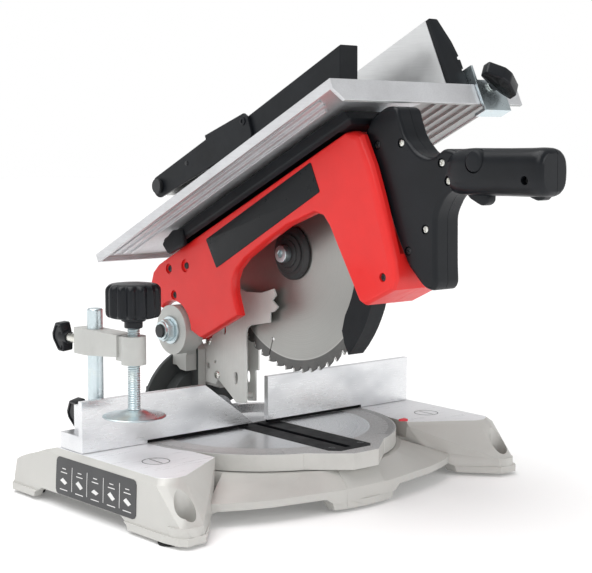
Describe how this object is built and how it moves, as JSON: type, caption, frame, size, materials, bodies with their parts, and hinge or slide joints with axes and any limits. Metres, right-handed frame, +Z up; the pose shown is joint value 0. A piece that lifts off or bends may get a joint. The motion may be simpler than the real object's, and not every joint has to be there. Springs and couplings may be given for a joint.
{
  "type": "combination mitre saw",
  "caption": "Bench mitre saw with a turntable, tilting chop head, and a second saw table with rip fence and guard on top of the head.",
  "frame": {"origin": "on the floor, under the middle of the saw's box", "axes": "+Z up, +X to the operator's right along the fence, +Y to the back"},
  "size_m": [0.402, 0.4976, 0.4057],
  "materials": {
    "cast": "cast, satin paint",
    "machined": "machined",
    "alloy": "pressed, satin",
    "red": "satin",
    "black": "satin",
    "zinc": "bright zinc plate",
    "steel": "ground",
    "dark": "black",
    "rubber": "matt",
    "copper": "wound",
    "pointer": "satin",
    "darkplastic": "matt"
  },
  "bodies": {
    "stand": {"base": "cast", "foot_front_left": "rubber", "foot_front_right": "rubber", "foot_back_left": "rubber", "foot_back_right": "rubber", "fence": "machined", "mitre_pointer": "pointer"},
    "post_knob": {"post_lock_knob": "black"},
    "post": {"clamp_post": "zinc"},
    "clamp": {"clamp_arm": "cast"},
    "clamp_wing": {"clamp_wing_screw": "black"},
    "clamp_feed": {"clamp_screw": "zinc", "clamp_knob": "black", "clamp_pad": "zinc"},
    "turntable": {"turntable": "machined", "mitre_pivot_bolt": "zinc", "kerf_insert": "black", "bevel_pivot_pin": "zinc", "bevel_quadrant": "dark"},
    "bevel_arm": {"arm_bracket": "cast", "hinge_bolt": "dark", "hinge_nut": "zinc", "hinge_washer": "zinc", "return_spring": "steel", "blade_channel": "zinc"},
    "bevel_lever": {"bevel_lock_lever": "dark"},
    "head": {"left_cover": "red", "right_housing": "red", "top_cover": "black", "motor_housing": "black", "motor_end_cap": "black", "motor_stator": "steel", "cord_inlet": "rubber", "spindle_bearing": "zinc", "riving_knife": "steel", "guard_pivot_bolt": "dark", "handle_left": "black", "handle_right": "black", "power_switch": "darkplastic"},
    "arbor": {"spindle": "steel", "drive_gear": "steel", "inner_flange": "dark", "saw_blade": "steel", "outer_flange": "dark", "arbor_bolt": "zinc"},
    "armature": {"motor_armature": "copper", "motor_fan": "darkplastic"},
    "lower_guard": {"lower_guard": "black"},
    "trigger": {"trigger": "black"},
    "lock_button": {"lock_button": "black"},
    "table_knob": {"table_lock_knob": "black"},
    "top_table": {"upper_table": "alloy", "table_post_rear": "zinc", "table_post_front": "zinc"},
    "rip": {"rip_fence": "alloy", "rip_fence_nose": "black", "rip_fence_bracket": "zinc"},
    "rip_knob": {"rip_fence_knob": "black"},
    "over_guard": {"upper_guard": "black", "guard_lever": "black"}
  },
  "joints": [
    {"name": "mitre", "type": "hinge", "parent": "stand", "child": "turntable", "pos_m": [0, 0.09815, 0.0486], "axis": [0, 0, 1], "range_deg": [-45, 45]},
    {"name": "bevel", "type": "hinge", "parent": "turntable", "child": "bevel_arm", "pos_m": [0, 0.18215, 0.0486], "axis": [0, 1, 0], "range_deg": [-30, 0]},
    {"name": "bevel_lock", "type": "hinge", "parent": "bevel_arm", "child": "bevel_lever", "pos_m": [-0.025, 0.20715, 0.076], "axis": [0, 1, 0], "range_deg": [0, 60]},
    {"name": "chop", "type": "hinge", "parent": "bevel_arm", "child": "head", "pos_m": [0, 0.17615, 0.131], "axis": [1, 0, 0], "range_deg": [0, 25.1], "stiffness_Nm_per_rad": 14, "springref_deg": -63.03},
    {"name": "blade_spin", "type": "hinge", "parent": "head", "child": "arbor", "pos_m": [0, 0.05259, 0.20787], "axis": [1, 0, 0], "continuous": true},
    {"name": "motor_spin", "type": "hinge", "parent": "head", "child": "armature", "pos_m": [0, 0.08943, 0.21579], "axis": [1, 0, 0], "continuous": true},
    {"name": "lower_guard_swing", "type": "hinge", "parent": "head", "child": "lower_guard", "pos_m": [0, 0.05259, 0.20787], "axis": [1, 0, 0], "range_deg": [-31, 0]},
    {"name": "trigger_pull", "type": "hinge", "parent": "head", "child": "trigger", "pos_m": [-0.02, -0.17192, 0.27196], "axis": [-1, 0, 0], "range_deg": [0, 5], "stiffness_Nm_per_rad": 0.6, "springref_deg": -5.73},
    {"name": "lock_off", "type": "slide", "parent": "head", "child": "lock_button", "axis": [1, 0, 0], "range_m": [0, 0.002], "stiffness_N_per_m": 400, "springref_m": -0.002},
    {"name": "table_lock", "type": "hinge", "parent": "head", "child": "table_knob", "pos_m": [0.046, -0.04202, 0.28289], "axis": [1, 0, 0], "continuous": true},
    {"name": "table_lift", "type": "slide", "parent": "head", "child": "top_table", "axis": [0, 0.4242, 0.9056], "range_m": [0, 0.022]},
    {"name": "rip_slide", "type": "slide", "parent": "top_table", "child": "rip", "axis": [1, 0, 0], "range_m": [-0.034, 0.016]},
    {"name": "rip_lock", "type": "hinge", "parent": "rip", "child": "rip_knob", "pos_m": [0.088, -0.10586, 0.35641], "axis": [0, -0.9056, 0.4242], "continuous": true},
    {"name": "guard_lift", "type": "hinge", "parent": "head", "child": "over_guard", "pos_m": [0, 0.2379, 0.26164], "axis": [-1, 0, 0], "range_deg": [0, 35]},
    {"name": "post_lock", "type": "hinge", "parent": "stand", "child": "post_knob", "pos_m": [-0.164, 0.13915, 0.072], "axis": [0, 1, 0], "continuous": true},
    {"name": "clamp_swing", "type": "hinge", "parent": "stand", "child": "post", "pos_m": [-0.164, 0.11615, 0.072], "axis": [0, 0, 1], "range_deg": [-90, 30]},
    {"name": "clamp_height", "type": "slide", "parent": "post", "child": "clamp", "axis": [0, 0, 1], "range_m": [-0.025, 0.012]},
    {"name": "clamp_lock", "type": "hinge", "parent": "clamp", "child": "clamp_wing", "pos_m": [-0.164, 0.16815, 0.137], "axis": [0, 1, 0], "continuous": true},
    {"name": "clamp_screw_feed", "type": "slide", "parent": "clamp", "child": "clamp_feed", "axis": [0, 0, 1], "range_m": [-0.006, 0.024]}
  ],
  "couplings": [
    {"joint": "motor_spin", "follows": "blade_spin", "ratio": -3},
    {"joint": "lower_guard_swing", "follows": "chop", "ratio": -1.2}
  ]
}
